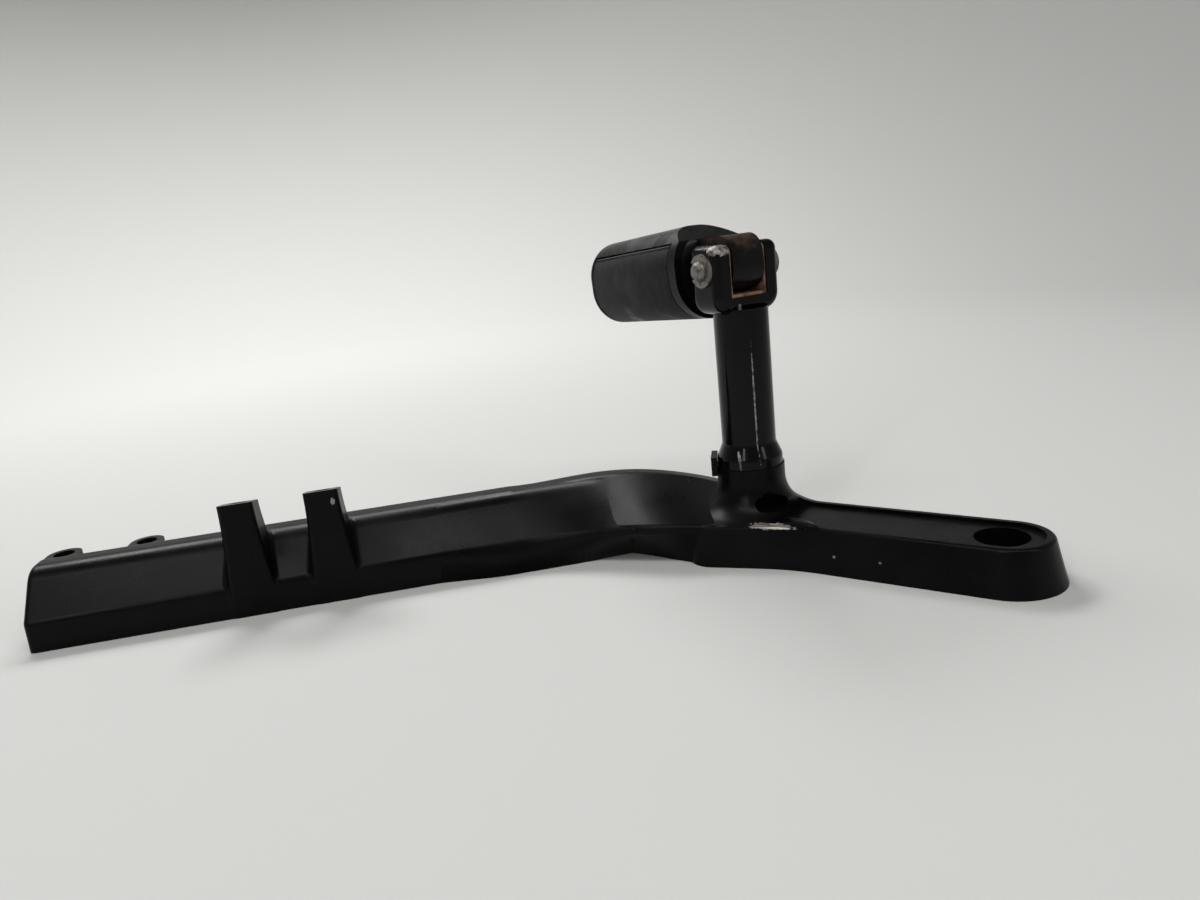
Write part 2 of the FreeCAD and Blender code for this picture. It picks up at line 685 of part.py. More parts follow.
def make_peg_post():
    """One forging: flared foot, round post, clevis with two ears."""
    body = new_body("peg_post")
    underside = f"{HINGE_Z} - clevis_drop"
    block = outline_sketch(body, "ClevisBlock", "XZ_Plane", [
        ("-clevis_width / 2", underside), ("clevis_width / 2", underside),
        ("clevis_width / 2", f"{HINGE_Z} + clevis_rise"), ("-clevis_width / 2", f"{HINGE_Z} + clevis_rise")])
    pad = sweep_both_ways(body, "Pad", block, "clevis_depth")
    doc.recompute()
    low = value_of(underside)
    round_edges(body, pad, "ClevisCorner", "clevis_corner",
                lambda box: box.YLength > 1 and box.ZMax < low + TOUCH)
    round_edges(body, body.Tip, "ClevisRounded", "clevis_round",
                lambda box: box.ZMin > low + size("clevis_corner") - TOUCH)
    foot = outline_sketch(body, "PostOutline", "XZ_Plane", [
        ("0", "seat_height"), ("post_foot_radius", "seat_height"),
        ("post_foot_radius", "seat_height + post_foot_height - post_foot_round"),
        ("post_radius", "seat_height + post_foot_height"),
        ("post_radius", f"{underside} + clevis_round / 2"),
        ("0", f"{underside} + clevis_round / 2")], offset="clevis_back")
    post = revolve(body, foot, "V_Axis")
    doc.recompute()
    taper_ends = [value_of("seat_height + post_foot_height"),
                  value_of("seat_height + post_foot_height - post_foot_round")]
    round_edges(body, post, "PostFootBlend", "post_foot_blend",
                lambda box: box.ZLength < TOUCH and any(abs(box.ZMin - end) < TOUCH for end in taper_ends))
    floor = f"{HINGE_Z} - slot_drop"
    above = f"{HINGE_Z} + 2 * clevis_rise"
    slot = outline_sketch(body, "ClevisSlot", "XZ_Plane", [
        ("-slot_width / 2", floor), ("slot_width / 2", floor), ("slot_width / 2", above),
        ("-slot_width / 2", above)])
    sweep_both_ways(body, "Pocket", slot, "2 * clevis_depth")
    bore = outline_sketch(body, "HingeBore", "XZ_Plane", [
        ("-clevis_width", HINGE_Z), ("clevis_width", HINGE_Z),
        ("clevis_width", f"{HINGE_Z} + pin_radius + pin_clearance"),
        ("-clevis_width", f"{HINGE_Z} + pin_radius + pin_clearance")])
    groove(body, bore, (bore, ["Edge1"]))
    socket = outline_sketch(body, "BoltSocket", "XZ_Plane", [
        ("0", "seat_height"), ("stud_radius + thread_clearance", "seat_height"),
        ("stud_radius + thread_clearance", "seat_height + stud_grip + stud_radius"),
        ("0", "seat_height + stud_grip + 2 * stud_radius")], offset="clevis_back")
    groove(body, socket, (socket, ["V_Axis"]))
    return place_on_hinge(body, height="0")


def groove(body, sketch, axis):
    """Take a turned hollow out of a body."""
    feature = body.newObject("PartDesign::Groove", f"{sketch.Name}Cut")
    feature.Profile = sketch
    feature.ReferenceAxis = axis
    feature.Angle = 360
    return feature


def round_edges(body, base, name, radius, chosen):
    """Fillet the edges of a body's last feature whose boxes a test picks."""
    names = [f"Edge{i}" for i, edge in enumerate(base.Shape.Edges, start=1) if chosen(edge.BoundBox)]
    feature = body.newObject("PartDesign::Fillet", name)
    feature.Base = (base, names)
    bind(feature, Radius=radius)
    doc.recompute()
    return feature


def make_slot_liner():
    """Folded sheet saddle that lines the clevis's slot and takes up the tongue's play."""
    body = new_body("slot_liner")
    outer = "slot_width / 2"
    inner = "slot_width / 2 - liner_thick"
    floor = "-slot_drop + liner_thick"
    top = "clevis_rise - liner_short"
    sheet_outline = outline_sketch(body, "LinerFold", "XZ_Plane", [
        (f"-({outer})", "-slot_drop"), (outer, "-slot_drop"), (outer, top), (inner, top), (inner, floor),
        (f"-({inner})", floor), (f"-({inner})", top), (f"-({outer})", top)])
    fold = sweep_both_ways(body, "Pad", sheet_outline, "clevis_depth - 2 * liner_short")
    doc.recompute()
    ceiling = size("clevis_rise") - size("liner_short")
    half_depth = size("clevis_depth") / 2 - size("liner_short")
    round_edges(body, fold, "LinerTop", "clevis_round - liner_short",
                lambda box: box.XLength > TOUCH and box.ZMin > ceiling - TOUCH
                and abs(abs(box.Center.y) - half_depth) < TOUCH)
    bore = outline_sketch(body, "LinerBore", "XZ_Plane", [
        ("-slot_width", "0"), ("slot_width", "0"), ("slot_width", "pin_radius + liner_thick / 2"),
        ("-slot_width", "pin_radius + liner_thick / 2")])
    groove(body, bore, (bore, ["Edge1"]))
    return place_on_hinge(body)


# Hinge pin, ring, post bolt and washer


def make_pivot_pin():
    """Headed pin with a ring groove and a domed tail."""
    body = new_body("pivot_pin")
    ear = "clevis_width / 2"
    neck = "pin_radius - groove_depth"
    outline = outline_sketch(body, "PinOutline", "XZ_Plane", [
        (f"-{ear} - pin_tail", "0"), (f"{ear} + pin_head_thick", "0"),
        (f"{ear} + pin_head_thick", "pin_head_radius - pin_chamfer"),
        (f"{ear} + pin_head_thick - pin_chamfer", "pin_head_radius"), (ear, "pin_head_radius"),
        (ear, "pin_radius"),
        (f"-{ear}", "pin_radius"), (f"-{ear}", neck), (f"-{ear} - ring_thick", neck),
        (f"-{ear} - ring_thick", "pin_radius"), (f"-{ear} - pin_tail", "pin_radius")])
    turned = revolve(body, outline, "H_Axis")
    doc.recompute()
    tail = value_of(f"-{ear} - pin_tail")
    round_edges(body, turned, "PinDome", "pin_dome",
                lambda box: abs(box.XMax - tail) < TOUCH and box.YLength > 1)
    return place_on_hinge(body)


def make_pin_ring():
    """Open retaining ring in the pin's groove, with its mouth away from the peg's weight."""
    body = new_body("pin_ring")
    ear = "clevis_width / 2"
    neck = "pin_radius - groove_depth"
    outline = outline_sketch(body, "RingOutline", "XZ_Plane", [
        (f"-{ear} - ring_thick", neck), (f"-{ear}", neck), (f"-{ear}", "ring_radius"),
        (f"-{ear} - ring_thick", "ring_radius")])
    revolve(body, outline, "H_Axis")
    mouth = outline_sketch(body, "RingMouth", "YZ_Plane", [
        ("0", "groove_depth - pin_radius"), ("2 * ring_radius", "groove_depth - pin_radius"),
        ("2 * ring_radius", "pin_radius - groove_depth"), ("0", "pin_radius - groove_depth")])
    sweep_both_ways(body, "Pocket", mouth, "2 * clevis_width")
    return place_on_hinge(body)


def make_post_bolt():
    """Hexagon bolt up through the boss into the post."""
    head = doc.addObject("Part::Prism", "BoltHead")
    head.Polygon = 6
    bind(head, Circumradius="hex_radius", Height="hex_height",
         Placement__Base__z="cavity_height - washer_thick - hex_height")
    shank = cylinder("BoltShank", "stud_radius", "seat_height + stud_grip - cavity_height + washer_thick",
                     z="cavity_height - washer_thick")
    return place_on_post(fuse("post_bolt", [head, shank]))


def make_post_bolt_washer():
    """Plain washer under the bolt's head."""
    underside = "cavity_height - washer_thick"
    disc = cylinder("WasherDisc", "washer_radius", "washer_thick", z=underside)
    bore = cylinder("WasherBore", "stud_radius + stud_clearance", "washer_thick", z=underside)
    return place_on_post(cut("post_bolt_washer", disc, bore))


# Folding peg, built along +Y from the hinge axis, level, and then lowered to its folded droop


def peg_share(y):
    """Share of the way from the flange's outer face to the peg's end."""
    return (y - pad_start()) / (size("peg_length") - pad_start())


def peg_edges(y):
    """Half width, underside and top of the peg's tapered form at a distance from the hinge."""
    share = peg_share(y)
    wide = size("peg_width") + share * (size("tip_width") - size("peg_width"))
    tall = size("peg_tall") + share * (size("tip_tall") - size("peg_tall"))
    return wide / 2, -size("peg_drop") - tall / 2, -size("peg_drop") + tall / 2


def peg_section(y):
    """D-shaped section: arched back above, round belly below."""
    wide, low, top = peg_edges(y)
    back = wide * size("back_share")
    belly = wide * size("belly_share")
    corners = [Vector(-wide, y, top), Vector(-wide, y, low), Vector(wide, y, low), Vector(wide, y, top)]
    return rounded_wire(corners, [back, belly, belly, back])


def pad_start():
    """Distance of the flange's outer face from the hinge."""
    return size("flange_start") + size("flange_thick")


def peg_form(name, start, end):
    """The peg's tapered form between two distances from the hinge."""
    return loft(name, [peg_section(start), peg_section(end)], ruled=True)


def below_spine(name, gap):
    """Everything more than a gap under the metal back, from the flange to the end rim."""
    end = size("peg_length") - size("end_rim")
    wires = []
    for y in (pad_start(), end):
        wide, low, top = peg_edges(y)
        level = top - gap - size("spine_thick") - peg_share(y) * (size("spine_tip") - size("spine_thick"))
        corners = [Vector(-2 * wide, y, level), Vector(-2 * wide, y, 2 * low), Vector(2 * wide, y, 2 * low),
                   Vector(2 * wide, y, level)]
        wires.append(rounded_wire(corners, [0] * len(corners)))
    return loft(name, wires, ruled=True)


def tongue_outline():
    """Side view of the tongue: round nose under the hinge, taller back, straight run to the neck."""
    nose = size("tongue_nose")
    top = size("tongue_top")
    end = size("flange_start")
    side = -size("slot_width") / 2 + size("liner_thick") + size("tongue_play")
    corners = [Vector(side, -nose, -nose), Vector(side, end, -nose), Vector(side, end, top),
               Vector(side, -nose, top)]
    near_full = 0.999
    return rounded_wire(corners, [nose * near_full, 0, 0, size("tongue_round")])


def neck_section(y, wide, low, high, corner):
    """Upright rounded section of the neck."""
    corners = [Vector(-wide, y, high), Vector(-wide, y, low), Vector(wide, y, low), Vector(wide, y, high)]
    return rounded_wire(corners, [corner] * len(corners))


TONGUE_WIDTH = "slot_width - 2 * liner_thick - 2 * tongue_play"


def make_spine():
    """Metal back of the peg, and the rim at the pad's end."""
    end = size("peg_length")
    form = fillet("PegFormRounded", peg_form("PegForm", pad_start(), end), size("end_round"),
                  lambda edge: edge.BoundBox.YMin > end - TOUCH)
    return cut("PegSpine", form, below_spine("PegBelow", 0.0))


def make_core_bar():
    """Bar inside the pad, from flange to end rim, up into the metal back."""
    bar = doc.addObject("Part::Box", "CoreBar")
    return bind(bar, Length="core_width", Width="peg_length - flange_start - end_rim / 2",
                Height="core_depth - peg_drop + tip_tall / 2 - spine_tip / 2",
                Placement__Base__x="-core_width / 2", Placement__Base__y="flange_start",
                Placement__Base__z="-core_depth")


def make_crown_cut():
    """Wedge over neck and flange: what it leaves slants up from the tongue's back to the metal back."""
    half = size("peg_width")
    near = size("flange_start")
    low = size("tongue_top") + size("crown_step")
    crown = near + size("crown_run")
    top = peg_edges(crown)[2]
    above = 2 * top
    beyond = crown + (above - top) * size("crown_run") / (top - low)
    corners = [Vector(-half, 0, low), Vector(-half, near, low), Vector(-half, beyond, above),
               Vector(-half, 0, above)]
    return extrusion("CrownCut", rounded_wire(corners, [0] * len(corners)), Vector(1, 0, 0), "2 * peg_width")


def make_peg_core():
    """Metal of the peg: tongue, neck, flange, back, end rim and the bar inside the pad."""
    tongue = extrusion("Tongue", tongue_outline(), Vector(1, 0, 0), TONGUE_WIDTH)
    wide, low, top = peg_edges(pad_start())
    inset = size("neck_set")
    root_wide = wide - inset
    neck = loft("Neck", [
        neck_section(size("neck_start"), value_of(TONGUE_WIDTH) / 2, -size("tongue_nose"), size("tongue_top"),
                     size("liner_thick")),
        neck_section(size("flange_start"), root_wide, low + inset, top - inset,
                     root_wide * size("back_share"))], ruled=True)
    flange = extrusion("Flange", peg_section(pad_start()), Vector(0, -1, 0), "flange_thick")
    whole = fuse("CoreWhole", [tongue, neck, flange, make_spine(), make_core_bar()])
    blank = cut("CoreBlank", whole, make_crown_cut())
    bore = cylinder("TongueBore", "pin_radius + pin_clearance", "2 * slot_width")
    bore.Placement = Placement(Vector(-size("slot_width"), 0, 0), Rotation(Vector(0, 1, 0), 90))
    return place_on_hinge(cut("peg_core", blank, bore), tilt="-fold_droop")


def make_peg_pad():
    """Rubber pad: a saddle round the core bar, from the flange to the end rim."""
    block = doc.addObject("Part::MultiCommon", "PadBlock")
    gap = size("spine_gap")
    form = peg_form("PadForm", pad_start() + gap, size("peg_length") - size("end_rim"))
    block.Shapes = [form, below_spine("PadBelow", gap)]
    pad = cut("peg_pad", block, make_core_channel())
    return place_on_hinge(pad, tilt="-fold_droop")


def make_core_channel():
    """Channel in the pad for the core bar."""
    channel = doc.addObject("Part::Box", "CoreChannel")
    return bind(channel, Length="core_width", Width="peg_length", Height="core_depth + peg_tall",
                Placement__Base__x="-core_width / 2", Placement__Base__z="-core_depth")


def check_document():
    """Stop on any object that failed, before anything is written."""
    for item in doc.Objects:
        if "Invalid" in item.State or "Error" in item.State:
            raise RuntimeError(f"{item.Label}: {item.State}")


def export(items):
    """Write each finished sub-part to a file named by its label."""
    os.makedirs("parts", exist_ok=True)
    for item in items:
        shape = item.Shape
        if shape.isNull() or not shape.isValid():
            raise RuntimeError(f"{item.Label}: bad shape")
        print(f"{item.Label}: {len(shape.Solids)} solid, {shape.Volume / 1000:.2f} cm3")
        shape.exportStep(f"parts/{item.Label}.step")


SUBPARTS = [make_bracket(), make_peg_post(), make_slot_liner(), make_pivot_pin(), make_pin_ring(),
            make_post_bolt(), make_post_bolt_washer(), make_peg_core(), make_peg_pad()]
doc.recompute()
check_document()
export(SUBPARTS)
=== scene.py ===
"""Looks of the foot-peg support: a finish for each metal piece, the peg's moulded rubber, and the studio."""
import json
import math

import bmesh
import bpy
from mathutils import Matrix, Vector


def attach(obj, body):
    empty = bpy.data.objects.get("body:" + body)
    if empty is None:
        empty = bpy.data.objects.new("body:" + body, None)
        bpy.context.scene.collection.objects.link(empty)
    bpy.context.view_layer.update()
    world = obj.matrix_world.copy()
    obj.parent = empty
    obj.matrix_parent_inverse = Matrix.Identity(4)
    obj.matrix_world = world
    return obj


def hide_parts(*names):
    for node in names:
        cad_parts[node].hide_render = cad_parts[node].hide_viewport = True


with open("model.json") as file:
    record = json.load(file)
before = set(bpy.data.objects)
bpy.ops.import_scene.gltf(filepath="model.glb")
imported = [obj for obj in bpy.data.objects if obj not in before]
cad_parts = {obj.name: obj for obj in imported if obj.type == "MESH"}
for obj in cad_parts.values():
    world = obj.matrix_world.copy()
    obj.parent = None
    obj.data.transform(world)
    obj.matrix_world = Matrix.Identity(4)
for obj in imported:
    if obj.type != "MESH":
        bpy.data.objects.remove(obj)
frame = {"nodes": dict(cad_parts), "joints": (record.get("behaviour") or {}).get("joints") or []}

bl_info = {
    "name": "Foot-peg support",
    "version": (1, 0, 0),
    "blender": (4, 5, 0),
    "location": "View3D > Sidebar > Foot peg",
    "description": "Finishes, rubber pad and studio for a folding foot peg on its cast support",
    "category": "Object",
}

HINGE = frame["joints"][0]
HINGE_POINT = Vector(HINGE["pos_m"])
HINGE_AXIS = Vector(HINGE["axis"])
UP = Vector((0, 0, 1))
FOLD_WAY = UP.cross(HINGE_AXIS)
HINGE_TURN = math.atan2(HINGE_AXIS.y, HINGE_AXIS.x)
# The post's axis in plan
POST = Vector((-0.068835, 0.072537))
SHARP_ANGLE = math.radians(35)
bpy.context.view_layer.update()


class CastingFinish(bpy.types.PropertyGroup):
    """Paint on the cast bracket."""
    colour: bpy.props.FloatVectorProperty(
        name="Paint", description="Satin black paint", subtype="COLOR", size=3, min=0, max=1,
        default=(0.0020, 0.0019, 0.0023))
    bare: bpy.props.FloatVectorProperty(
        name="Bare metal", description="Casting where the paint is rubbed off", subtype="COLOR", size=3,
        min=0, max=1, default=(0.26, 0.24, 0.22))
    dust: bpy.props.FloatProperty(
        name="Dust", description="Colour of the dusty patches over the paint's", min=1, default=1.9)
    patch: bpy.props.FloatProperty(
        name="Patch", description="Size of the dusty patches", unit="LENGTH", min=0.0001, default=0.030)
    roughness: bpy.props.FloatProperty(
        name="Roughness", description="Roughness of the paint", subtype="FACTOR", min=0, max=1, default=0.32)
    gloss: bpy.props.FloatProperty(
        name="Gloss", description="Strength of the paint's reflection", subtype="FACTOR", min=0, max=1,
        default=0.09)
    grain: bpy.props.FloatProperty(
        name="Grain", description="Size of the casting's skin", unit="LENGTH", min=0.0001, default=0.0011)
    relief: bpy.props.FloatProperty(
        name="Relief", description="Depth of grain and chips", unit="LENGTH", min=0, default=0.00012)


def corner_property(name, description, default):
    """Corner of a section across the bar: behind the post's axis, and up."""
    return bpy.props.FloatVectorProperty(
        name=name, description=description, unit="LENGTH", size=2, default=default)


class ElbowSkin(bpy.types.PropertyGroup):
    """Smooth sheet over the casting's uneven stretch before the elbow, measured from the post's axis."""
    start: bpy.props.FloatProperty(
        name="Start", description="Where the skin leaves the bar", unit="LENGTH", default=-0.140)
    turn: bpy.props.FloatProperty(
        name="Turn", description="Where the bar begins to turn", unit="LENGTH", default=-0.104)
    end: bpy.props.FloatProperty(
        name="End", description="Where the skin sinks into the elbow", unit="LENGTH", default=-0.0521)
    bar_foot: corner_property("Bar foot", "Front foot of the bar", (0.0184, 0.0))
    bar_knee: corner_property("Bar knee", "Knee of the bar", (0.0192, 0.0125))
    bar_crown: corner_property("Bar crown", "Top of the bar's slope", (0.0351, 0.0302))
    bar_back: corner_property("Bar back", "Back of the bar's top", (0.0448, 0.0302))
    elbow_foot: corner_property("Elbow foot", "Front foot of the elbow", (0.0152, 0.0))
    elbow_ledge: corner_property("Elbow ledge", "Front ledge of the elbow", (-0.0048, 0.01705))
    elbow_crown: corner_property("Elbow crown", "Top of the elbow's slope", (0.0367, 0.0309))
    elbow_back: corner_property("Elbow back", "Back of the elbow's top", (0.0425, 0.0309))
    toe: bpy.props.FloatProperty(
        name="Toe", description="Step of the foot before the bar's front", unit="LENGTH", default=0.0046)
    gather: bpy.props.FloatProperty(
        name="Gather", description="How late the section changes, as a power", min=1, default=1.7)
    thick: bpy.props.FloatProperty(
        name="Thickness", description="Thickness of the skin", unit="LENGTH", default=0.0012)
    proud: bpy.props.FloatProperty(
        name="Proud", description="Skin outside the casting's own surface", unit="LENGTH", default=0.0002)
    sink: bpy.props.FloatProperty(
        name="Sink", description="Skin inside that surface at its two ends", unit="LENGTH", default=0.0004)
    tuck: bpy.props.FloatProperty(
        name="Tuck", description="Depth of the back edge under the bar's top", unit="LENGTH", default=0.0009)
    fade: bpy.props.FloatProperty(
        name="Fade", description="Length over which each end sinks", unit="LENGTH", default=0.010)
    knee_round: bpy.props.FloatProperty(
        name="Knee", description="Reach of the rounding at the bar's knee", unit="LENGTH", default=0.0016)
    ledge_round: bpy.props.FloatProperty(
        name="Ledge", description="Reach of the rounding at the elbow's ledge", unit="LENGTH", default=0.0044)
    crown_round: bpy.props.FloatProperty(
        name="Crown", description="Reach of the rounding at the crown", unit="LENGTH", default=0.0053)


class SteelFinish(bpy.types.PropertyGroup):
    """Paint and bare steel of the post and the peg's metal."""
    colour: bpy.props.FloatVectorProperty(
        name="Paint", description="Gloss black paint", subtype="COLOR", size=3, min=0, max=1,
        default=(0.0022, 0.0021, 0.0025))
    roughness: bpy.props.FloatProperty(
        name="Roughness", description="Roughness of the paint", subtype="FACTOR", min=0, max=1, default=0.11)
    gloss: bpy.props.FloatProperty(
        name="Gloss", description="Strength of the paint's reflection", subtype="FACTOR", min=0, max=1,
        default=0.15)
    runs: bpy.props.FloatProperty(
        name="Runs", description="Width of the runs in the paint", unit="LENGTH", min=0.0001, default=0.0045)
    # Also the colour of the painted highlight lines down the post.
    bare: bpy.props.FloatVectorProperty(
        name="Bare steel", description="Steel in a chip", subtype="COLOR", size=3, min=0, max=1,
        default=(0.34, 0.32, 0.30))
    pitted: bpy.props.FloatVectorProperty(
        name="Pitted steel", description="Dark pits in that steel", subtype="COLOR", size=3, min=0, max=1,
        default=(0.09, 0.07, 0.06))
    bright: bpy.props.FloatVectorProperty(
        name="Bright steel", description="Worn plating of pin and ring", subtype="COLOR", size=3,
        min=0, max=1, default=(0.20, 0.195, 0.18))
    rust: bpy.props.FloatVectorProperty(
        name="Rust", description="Rust on tongue and saddle", subtype="COLOR", size=3, min=0, max=1,
        default=(0.050, 0.026, 0.017))
    old_rust: bpy.props.FloatVectorProperty(
        name="Old rust", description="Dark rust on the tongue", subtype="COLOR", size=3, min=0, max=1,
        default=(0.016, 0.013, 0.013))
    copper: bpy.props.FloatVectorProperty(
        name="Saddle", description="Rubbed sheet of the saddle", subtype="COLOR", size=3, min=0, max=1,
        default=(0.36, 0.21, 0.135))


class RubberPad(bpy.types.PropertyGroup):
    """Moulded rubber of the peg."""
    start: bpy.props.FloatProperty(
        name="Start", description="Hinge axis to the pad's near end", unit="LENGTH", default=0.0201)
    end: bpy.props.FloatProperty(
        name="End", description="Hinge axis to the pad's far end", unit="LENGTH", default=0.0865)
    width: bpy.props.FloatProperty(
        name="Width", description="Width at the near end", unit="LENGTH", default=0.0384)
    height: bpy.props.FloatProperty(
        name="Height", description="Height of the round section at the near end", unit="LENGTH",
        default=0.0396)
    end_width: bpy.props.FloatProperty(
        name="End width", description="Width at the far end", unit="LENGTH", default=0.0361)
    end_height: bpy.props.FloatProperty(
        name="End height", description="Height of the round section at the far end", unit="LENGTH",
        default=0.0383)
    roundness: bpy.props.FloatProperty(
        name="Roundness", description="Corner rounding over half the width", subtype="FACTOR", min=0, max=1,
        default=0.92)
    drop: bpy.props.FloatProperty(
        name="Drop", description="Middle of the pad below the hinge axis", unit="LENGTH", default=0.0002)
    level: bpy.props.FloatProperty(
        name="Level", description="Flat under the metal back, above the hinge axis", unit="LENGTH",
        default=0.0123)
    level_fall: bpy.props.FloatProperty(
        name="Fall", description="Slope of that flat", unit="ROTATION", default=0.0014)
    edge: bpy.props.FloatProperty(
        name="Edge", description="Rounding of the pad's edges", unit="LENGTH", default=0.0008)
    droop: bpy.props.FloatProperty(
        name="Droop", description="Folded peg below level", unit="ROTATION", default=math.radians(4.5))
    colour: bpy.props.FloatVectorProperty(
        name="Rubber", description="Greyed rubber", subtype="COLOR", size=3, min=0, max=1,
        default=(0.0085, 0.0085, 0.0092))
    smudge: bpy.props.FloatVectorProperty(
        name="Smudge", description="Dark smudges on it", subtype="COLOR", size=3, min=0, max=1,
        default=(0.002, 0.002, 0.0023))
    roughness: bpy.props.FloatProperty(
        name="Roughness", description="Roughness of the rubber", subtype="FACTOR", min=0, max=1, default=0.62)
    gloss: bpy.props.FloatProperty(
        name="Gloss", description="Strength of the rubber's reflection", subtype="FACTOR", min=0, max=1,
        default=0.18)
    scuff: bpy.props.FloatProperty(
        name="Scuff", description="Size of the scuffs", unit="LENGTH", min=0.0001, default=0.0025)
    scuff_grey: bpy.props.FloatProperty(
        name="Scuff grey", description="Colour of the scuffs over the rubber's", min=1, default=1.7)
    patch: bpy.props.FloatProperty(
        name="Patch", description="Size of the smudges", unit="LENGTH", min=0.0001, default=0.014)
    grain: bpy.props.FloatProperty(
        name="Grain", description="Size of the rubber's grain", unit="LENGTH", min=0.0001, default=0.0006)
    relief: bpy.props.FloatProperty(
        name="Relief", description="Depth of scuffs and grain", unit="LENGTH", min=0, default=0.00012)


class Studio(bpy.types.PropertyGroup):
    """Floor, light and camera."""
    floor: bpy.props.FloatVectorProperty(
        name="Floor", description="Pale floor and backdrop", subtype="COLOR", size=3, min=0, max=1,
        default=(0.575, 0.575, 0.56))
    floor_roughness: bpy.props.FloatProperty(
        name="Floor roughness", description="Roughness of the floor", subtype="FACTOR", min=0, max=1,
        default=0.9)
    floor_gloss: bpy.props.FloatProperty(
        name="Floor gloss", description="Strength of the floor's reflection", subtype="FACTOR", min=0, max=1,
        default=0.1)
    floor_middle: bpy.props.FloatVectorProperty(
        name="Floor middle", description="Middle of the floor", subtype="TRANSLATION", unit="LENGTH", size=3,
        default=(-0.19, 0.06, 0.0))
    floor_radius: bpy.props.FloatProperty(
        name="Floor radius", description="Middle to wall", unit="LENGTH", min=0.5, default=1.9)
    key_power: bpy.props.FloatProperty(
        name="Key light", description="Large softbox above and behind", unit="POWER", min=0, default=18.5)
    top_power: bpy.props.FloatProperty(
        name="Top light", description="Long softbox above the camera", unit="POWER", min=0, default=4.2)
    strip_power: bpy.props.FloatProperty(
        name="Strip lights", description="Narrow upright lights beside the camera", unit="POWER", min=0,
        default=2.6)
    sky: bpy.props.FloatProperty(
        name="Sky", description="Strength of the light over the open top", min=0, default=0.14)
    camera_place: bpy.props.FloatVectorProperty(
        name="Camera", description="Place of the camera", subtype="TRANSLATION", unit="LENGTH", size=3,
        default=(-0.19231, -0.27957, 0.1451))
    camera_turn: bpy.props.FloatVectorProperty(
        name="Camera turn", description="Turn of the camera", subtype="EULER", unit="ROTATION", size=3,
        default=(math.radians(75.4156), math.radians(6.0986), math.radians(-11.1834)))
    lens: bpy.props.FloatProperty(
        name="Lens", description="Focal length, in millimetres", min=1, default=27.03)
    sensor: bpy.props.FloatProperty(
        name="Sensor", description="Width of the sensor, in millimetres", min=1, default=36.0)
    nearest: bpy.props.FloatProperty(
        name="Nearest", description="Nearest thing that the camera sees", unit="LENGTH", min=0.001,
        default=0.01)


def new_material(name):
    """Empty node material: the material, its tree and its shader."""
    material = bpy.data.materials.new(name)
    material.use_nodes = True
    tree = material.node_tree
    return material, tree, tree.nodes["Principled BSDF"]


def add_node(tree, kind, inputs=None, **settings):
    """Node of a kind, with its settings; inputs are values or sockets, by socket name or number."""
    made = tree.nodes.new(kind)
    for key, value in settings.items():
        setattr(made, key, value)
    for key, value in (inputs or {}).items():
        if isinstance(value, bpy.types.NodeSocket):
            tree.links.new(value, made.inputs[key])
        else:
            made.inputs[key].default_value = value
    return made


def object_coords(tree):
    """Coordinates of the piece itself, in metres."""
    return add_node(tree, "ShaderNodeTexCoord").outputs["Object"]


def math_node(tree, operation, *values):
    """Result of one sum."""
    return add_node(tree, "ShaderNodeMath", dict(enumerate(values)), operation=operation).outputs[0]


def ramp(tree, value, low, high, low_result=0.0, high_result=1.0):
    """Value stretched from one range to another, and held inside it."""
    made = add_node(tree, "ShaderNodeMapRange", {"Value": value, "From Min": low, "From Max": high,
                                                 "To Min": low_result, "To Max": high_result},
                    interpolation_type="SMOOTHSTEP")
    return made.outputs["Result"]


def noise(tree, coords, size, detail=3.0, stretch=(1, 1, 1)):
    """Cloudy noise whose features are about one size, in metres, drawn out by a stretch."""
    scale = [1 / (size * part) for part in stretch]
    scaled = add_node(tree, "ShaderNodeMapping", {"Vector": coords, "Scale": scale})
    made = add_node(tree, "ShaderNodeTexNoise", {"Vector": scaled.outputs[0], "Scale": 1.0, "Detail": detail})
    return made.outputs["Fac"]


def spot(tree, coords, centre, radii, turn=0.0, ragged=0.7, grain=0.0022, soft=0.2):
    """Mask of one worn spot: an ellipsoid about a point, turned about the vertical, with a ragged edge."""
    local = add_node(tree, "ShaderNodeMapping", {"Vector": coords, "Location": centre,
                                                 "Rotation": (0, 0, turn), "Scale": radii},
                     vector_type="TEXTURE")
    reach = add_node(tree, "ShaderNodeVectorMath", {0: local.outputs[0]}, operation="LENGTH").outputs["Value"]
    broken = math_node(tree, "MULTIPLY_ADD", noise(tree, coords, grain, 6.0), 2 * ragged, -ragged)
    return ramp(tree, math_node(tree, "ADD", reach, broken), 1.0, 1.0 - soft)


def spots(tree, coords, chips):
    """One mask for several named spots."""
    first, *others = chips.values()
    mask = spot(tree, coords, **first)
    for chip in others:
        mask = math_node(tree, "MAXIMUM", mask, spot(tree, coords, **chip))
    return mask


def mix_colour(tree, share, below, above):
    """Colour between two, by a share."""
    made = add_node(tree, "ShaderNodeMix", {"Factor": share}, data_type="RGBA")
    colours = [socket for socket in made.inputs if socket.type == "RGBA"]
    for socket, value in zip(colours, (below, above)):
        if isinstance(value, bpy.types.NodeSocket):
            tree.links.new(value, socket)
        else:
            socket.default_value = (*value, 1.0)
    return next(socket for socket in made.outputs if socket.type == "RGBA")


def bump(tree, shader, height, depth):
    """Relief of a depth in metres."""
    made = add_node(tree, "ShaderNodeBump", {"Height": height, "Distance": depth, "Strength": 1.0})
    tree.links.new(made.outputs["Normal"], shader.inputs["Normal"])


def link(tree, shader, **sockets):
    """Join node results to the shader's inputs, by name."""
    for name, value in sockets.items():
        tree.links.new(value, shader.inputs[name.replace("_", " ")])


